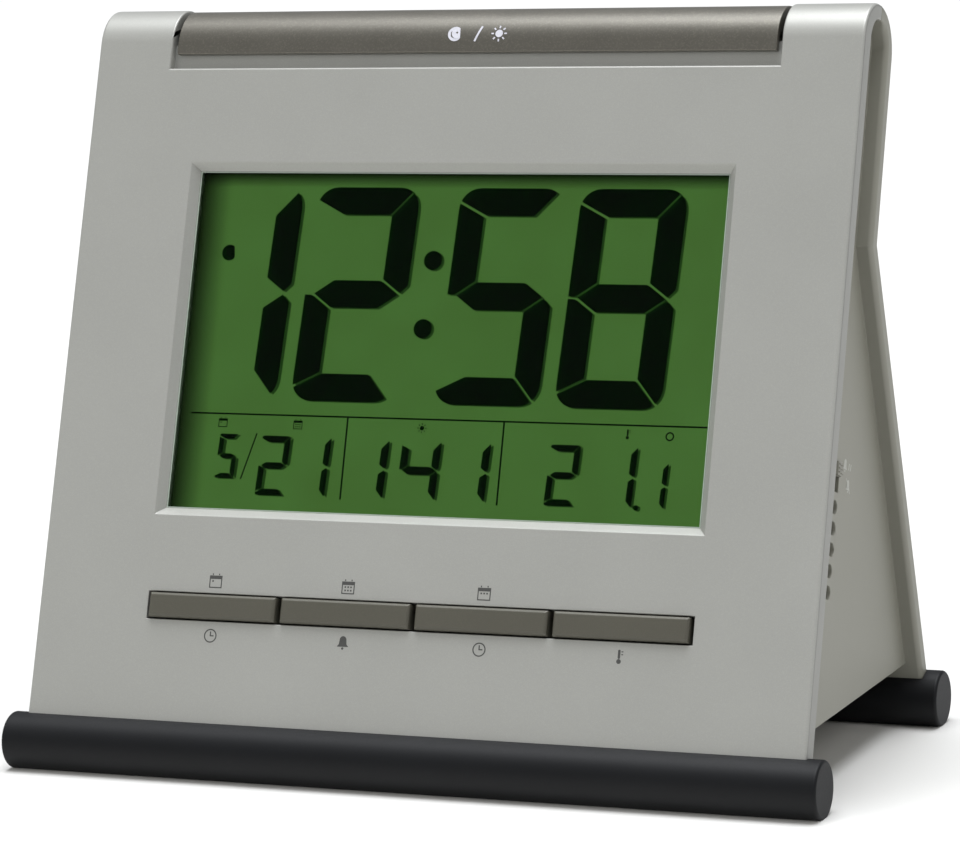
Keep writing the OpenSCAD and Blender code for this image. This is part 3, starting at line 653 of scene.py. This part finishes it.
def moved(shapes, x, y, size=1.0, slant=0.0):
    """Shapes scaled about their origin and put at (x, y).

    A shape is an outline, or the pair of outlines of a ring.
    """
    def place(shape):
        if isinstance(shape, tuple):
            return tuple(place(outline) for outline in shape)
        return [(x + size * (px + slant * py), y + size * py) for px, py in shape]
    return [place(shape) for shape in shapes]


# Small signs in the place of words, each about 1 high and centred

def calendar_sign(dots):
    sign = [(box_outline(-0.5, -0.5, 0.5, 0.4), box_outline(-0.42, -0.42, 0.42, 0.15))]
    sign += [box_outline(x - 0.04, 0.43, x + 0.04, 0.55) for x in (-0.25, 0.25)]
    spots = [(-0.22, 0.0), (0.0, 0.0), (0.22, 0.0), (-0.22, -0.24), (0.0, -0.24), (0.22, -0.24)]
    return sign + [box_outline(x - 0.06, y - 0.06, x + 0.06, y + 0.06) for x, y in spots[:dots]]


def clock_sign():
    hands = [stroke((0, -0.04), (0, 0.31), 0.09), stroke((0.05, 0), (0.26, 0), 0.09)]
    return [(disc(0, 0, 0.5), disc(0, 0, 0.41))] + hands


def bell_sign():
    dome = arc(0, 0.2, 0.26, 0, 180, 12)
    return [[(-0.45, -0.3), (0.45, -0.3), (0.3, -0.12)] + dome + [(-0.3, -0.12)], disc(0, -0.42, 0.09, 14)]


def thermometer_sign():
    stem_width = 0.18
    stem = moved([rounded_box(stem_width, 0.64, stem_width / 2.1)], -stem_width / 2, -0.14)
    return stem + [disc(0, -0.32, 0.17, 20)] + [stroke((0.16, y), (0.3, y), 0.07) for y in (0.36, 0.16)]


def moon_sign():
    """A crescent: an outer arc, and back along the arc of the shadow."""
    return [arc(0, 0, 0.5, 50, 310, 26) + arc(0.17, 0.06, 0.4, 304, 91.5, 17)]


def sun_sign():
    rays = [stroke(start, end, 0.09) for start, end in zip(disc(0, 0, 0.34, 8), disc(0, 0, 0.5, 8))]
    return [disc(0, 0, 0.24, 20)] + rays


def sheet_piece(name, shapes, place, thickness, material, body):
    """Thin closed solids of the shapes.

    place(x, y, out) gives the point of the row frame that lies out millimetres off the surface.
    """
    bm = bmesh.new()
    for shape in shapes:
        loops = shape if isinstance(shape, tuple) else (shape,)
        levels = [[[bm.verts.new(place(x, y, out)) for x, y in loop] for out in (0, thickness)]
                  for loop in loops]
        for low, high in levels:
            bridge(bm, low, high)
        for rings in zip(*levels):
            if len(rings) == 1:
                bm.faces.new(rings[0])
            else:
                bridge(bm, *rings)
    many_sided = [face for face in bm.faces if len(face.verts) > 4]
    bmesh.ops.triangulate(bm, faces=many_sided, ngon_method="BEAUTY")
    return new_piece(name, bm, material, body)


# ---- Display ----

window = middle("display_lens")
glass_low, glass_high = span("lcd_panel")
crystal_depth = (glass_low.y + glass_high.y) / 2
CRYSTAL_THICKNESS = 0.02
FILM_THICKNESS = 0.06
SLANT = 0.045
BIG = {"width": 16.9, "height": 33.15, "stroke_w": 4.25, "corner": 3.2}
SMALL = {"width": 4.8, "height": 9.15, "stroke_w": 1.0, "corner": 0.4}
LITTLE = {"width": 3.2, "height": 6.85, "stroke_w": 0.78, "corner": 0.3}
WIDE = {"width": 6.4, "height": 9.0, "stroke_w": 1.25, "corner": 0.5}

# Heights over the window's middle: the feet of the rows of digits and of the small fields, and the middles of
# the rule, the signs over the fields and the degree ring
BIG_ROW, SMALL_ROW, WIDE_ROW, LITTLE_ROW, TENTHS_ROW, FIELDS_FOOT = -8.65, -23.35, -23.3, -20.95, -23.3, -23.6
RULE, FIELD_SIGNS, DEGREE = -11.0, -12.35, -12.5

shapes = []
for symbol, centre, base, size in (
        ("1", -35.75, BIG_ROW, BIG), ("2", -16.35, BIG_ROW, BIG), ("5", 7.2, BIG_ROW, BIG),
        ("8", 26.7, BIG_ROW, BIG), ("5", -35.2, LITTLE_ROW, LITTLE), ("2", -27.3, SMALL_ROW, SMALL),
        ("1", -20.5, SMALL_ROW, SMALL), ("1", -11.7, WIDE_ROW, WIDE), ("4", -3.2, WIDE_ROW, WIDE),
        ("1", 4.8, WIDE_ROW, WIDE), ("2", 19.9, SMALL_ROW, SMALL), ("1", 28.9, SMALL_ROW, SMALL),
        ("1", 34.7, TENTHS_ROW, LITTLE)):
    corner_x = centre - size["width"] / 2 - SLANT * size["height"] / 2
    shapes += moved(digit(symbol, **size), corner_x, base, 1, SLANT)

# The two dots of the colon and the decimal dot. With the digits, these are wide enough to get a painted shadow on
# the film behind.
shapes += [disc(-4.13, 13.3, 1.48), disc(-4.75, 2.8, 1.48), disc(31.85, -23.2, 0.42, 16)]
shadows = list(shapes)

# The rule under the time, the lines between the small fields, the date's slash, the degree ring and the signs
RULE_HALF = 0.13
DIVIDER_HALF = 0.14
shapes += [box_outline(-42, RULE - RULE_HALF, 41.9, RULE + RULE_HALF)]
for x in (-15.6, 9.9):
    shapes += [box_outline(x - DIVIDER_HALF, FIELDS_FOOT, x + DIVIDER_HALF, RULE - RULE_HALF)]
shapes += [stroke((-32.5, -21.0), (-30.5, -13.9), 0.22)]
shapes += [(disc(36.2, DEGREE, 0.68), disc(36.2, DEGREE, 0.46))]
shapes += moved(moon_sign(), -38.3, 14.1, 2.5)
for sign, x in ((calendar_sign(1), -36.4), (calendar_sign(6), -23.8), (sun_sign(), -3.3),
                (thermometer_sign(), 29.6)):
    shapes += moved(sign, x, FIELD_SIGNS, 1.5)


def behind_window(depth):
    """Places sheets at a depth behind the face, with (0, 0) at the window's middle."""
    return lambda x, y, out: from_panel(x, depth - out, window.z + y)


sheet_piece("lcd_segments", shapes, behind_window(crystal_depth), CRYSTAL_THICKNESS, lit_segment,
            "clock_body")
# A painted shadow of the digits and dots: a fixed dark copy of them just in front of the film
sheet_piece("lcd_segment_shadows", shadows, behind_window(glass_high.y - CRYSTAL_THICKNESS),
            CRYSTAL_THICKNESS, segment_shadow, "clock_body")

# The green film fills the back of the glass. Its light reaches nearly to the lens's edges, and painted shade
# darkens it towards them.
film = box_outline(glass_low.x + 0.3, glass_low.z + 3.2, glass_high.x - 0.3, glass_high.z - 0.3)
edge_shade_low = Vector((lens_low.x + 0.2, 0, lens_low.z + 0.6))
edge_shade_high = Vector((lens_high.x - 1.6, 0, lens_high.z - 1.2))
sheet_piece("lcd_rear_film", [film], lambda x, y, out: from_panel(x, glass_high.y + 0.07 - out, y),
            FILM_THICKNESS, backlit_film_with_painted_shade("backlit_film_with_painted_shade", edge_shade_low, edge_shade_high), "clock_body")

# ---- Printed signs ----

INK_THICKNESS = 0.012
KEY_SIGN = 2.1          # height of the signs over and under a key
KEY_SIGN_OVER = 4.0     # how far they are from the key's middle
KEY_SIGN_UNDER = 4.3

shapes = []
key_signs = {"month_key": (calendar_sign(1), clock_sign()), "date_key": (calendar_sign(6), bell_sign()),
             "year_key": (calendar_sign(3), clock_sign()), "unit_key": (None, thermometer_sign())}
for key, (upper, lower) in key_signs.items():
    centre = middle(key)
    for sign, y in ((upper, KEY_SIGN_OVER), (lower, -KEY_SIGN_UNDER)):
        if sign:
            shapes += moved(sign, centre.x, centre.z + y, KEY_SIGN)
sheet_piece("front_print", shapes, lambda x, y, out: from_panel(x, -out, y), INK_THICKNESS, dark_ink,
            "clock_body")

BAR_ROUND = 6.35            # radius of the snooze bar's front round
BAR_SIGN_ROW = 5.3          # how far its signs lie below its top
BAR_INK_THICKNESS = 0.06    # enough for the flat parts of the signs to stand clear of the round


def on_bar(x, y, out):
    """A point out millimetres off the snooze bar's face or its front round."""
    over = max(0, BAR_ROUND - BAR_SIGN_ROW + y)
    lift = out + BAR_ROUND
    if not over:
        return from_panel(x, bar_low.y - out, bar_high.z - BAR_SIGN_ROW + y)
    angle = math.asin(over / BAR_ROUND)
    return from_panel(x, bar_low.y + BAR_ROUND - lift * math.cos(angle),
                      bar_high.z - BAR_ROUND + lift * math.sin(angle))


bar_signs = moved(moon_sign(), -2.4, 0, 2.3) + moved(sun_sign(), 4.8, 0, 2.5)
bar_signs += [stroke((0.9, -1.2), (1.9, 1.2), 0.3, 10)]
sheet_piece("bar_print", bar_signs, on_bar, BAR_INK_THICKNESS, white_ink, "snooze_bar")

# On the right side wall, beside the knob's two places: a ringing bell above, a bell struck out below
WALL_INSET = 2.5            # depth of the side recess
SIDE_SIGN = 2.0
UPPER_DEPTH, LOWER_DEPTH = 14.6, 16.6
STRIKE_THICKNESS = 0.02     # the strike lies over the bell's ink
upper_sign, lower_sign = knob_high.z - 0.6, knob_high.z - 3.4


def on_wall(depth, height, out):
    """A point out millimetres off the right side wall."""
    return from_panel(half_width - WALL_INSET + out, depth, height)


side_signs = moved(bell_sign(), UPPER_DEPTH, upper_sign, SIDE_SIGN)
side_signs += moved(bell_sign(), LOWER_DEPTH, lower_sign, SIDE_SIGN)
side_signs += [stroke((x, upper_sign - 0.5), (x + 0.25, upper_sign + 0.5), 0.25) for x in (16.3, 17.1)]
sheet_piece("side_print", side_signs, on_wall, INK_THICKNESS, grey_ink, "clock_body")
strike = moved([stroke((-0.5, 0.5), (0.5, -0.5), 0.09)], LOWER_DEPTH, lower_sign, SIDE_SIGN)
sheet_piece("side_print_strike", strike, on_wall, STRIKE_THICKNESS, grey_ink, "clock_body")

# A painted highlight on the lens's polished edge: a thin pale line just inside the face's opening
LENS_LIP = 2        # how far the lens reaches under the face
LENS_HIGHLIGHT_WIDTH = 0.16
ring = tuple(
    box_outline(lens_low.x + inset, lens_low.z + inset, lens_high.x - inset, lens_high.z - inset)
    for inset in (LENS_LIP, LENS_LIP + LENS_HIGHLIGHT_WIDTH))
sheet_piece("lens_painted_highlight", [ring], lambda x, y, out: from_panel(x, lens_low.y - out, y), 0.02,
            ink("lens_highlight_paint", rgb(150, 160, 150), 0.3), "clock_body")

# ---- Camera, light and floor, in metres ----

scene = bpy.context.scene
YAW, PITCH, ROLL = (math.radians(angle) for angle in (23.09, 9.23, 2.2))
camera_data = bpy.data.cameras.new("camera")
camera_data.lens = 159.63
camera_data.sensor_width = 36
camera_data.shift_x = 0.0072
camera_data.shift_y = 0.0034
camera_data.clip_end = 50
camera = bpy.data.objects.new("camera", camera_data)
scene.collection.objects.link(camera)
scene.camera = camera
camera.matrix_world = (
    Matrix.Translation((0.25038, -0.58569, 0.15294)) @ Matrix.Rotation(YAW, 4, "Z")
    @ Matrix.Rotation(math.radians(90) - PITCH, 4, "X") @ Matrix.Rotation(-ROLL, 4, "Z"))

FLOOR_HALF = 6
FLOOR_GAP = 0.00002     # keeps the feet's soles from lying in the floor's plane
floor_mesh = bpy.data.meshes.new("floor")
floor_bm = bmesh.new()
bmesh.ops.create_grid(floor_bm, x_segments=1, y_segments=1, size=FLOOR_HALF)
floor_bm.to_mesh(floor_mesh)
floor_bm.free()
floor = bpy.data.objects.new("floor", floor_mesh)
floor.location.z = -FLOOR_GAP
scene.collection.objects.link(floor)
floor_mesh.materials.append(moulded("floor_paper", rgb(212, 211, 208), 0.7, grain=0.8, relief=0.002,
                                    mottle=200, spread=0.003, specular=0.2))

world = bpy.data.worlds.new("studio")
scene.world = world
world.use_nodes = True
background = world.node_tree.nodes["Background"]
background.inputs["Color"].default_value = (0.95, 0.97, 1.0, 1)
background.inputs["Strength"].default_value = 0.3


def new_light(name, kind, power, color, direction):
    """A light that shines along direction."""
    data = bpy.data.lights.new(name, kind)
    data.energy = power
    data.color = color
    light = bpy.data.objects.new(name, data)
    scene.collection.objects.link(light)
    light.rotation_euler = direction.to_track_quat("-Z", "Y").to_euler()
    return light


def fill(name, place, size, power):
    """A soft light that lightens the shadows but isn't mirrored."""
    light = new_light(name, "AREA", power, (1, 0.99, 0.96), Vector((0, 0, 0.06)) - Vector(place))
    light.data.shape = "RECTANGLE"
    light.data.size = light.data.size_y = size
    light.location = place
    light.visible_glossy = False


overhead = new_light("overhead", "SUN", 4.4, (0.945, 0.965, 1.0), Vector((0, -0.04, -1)))
overhead.data.angle = math.radians(44)
fill("left_fill", (-1.1, -1.4, 0.8), 0.9, 13)
fill("right_fill", (1.3, -0.5, 1.0), 0.8, 6)
scene.view_settings.view_transform = "Standard"
scene.cycles.transparent_max_bounces = 16
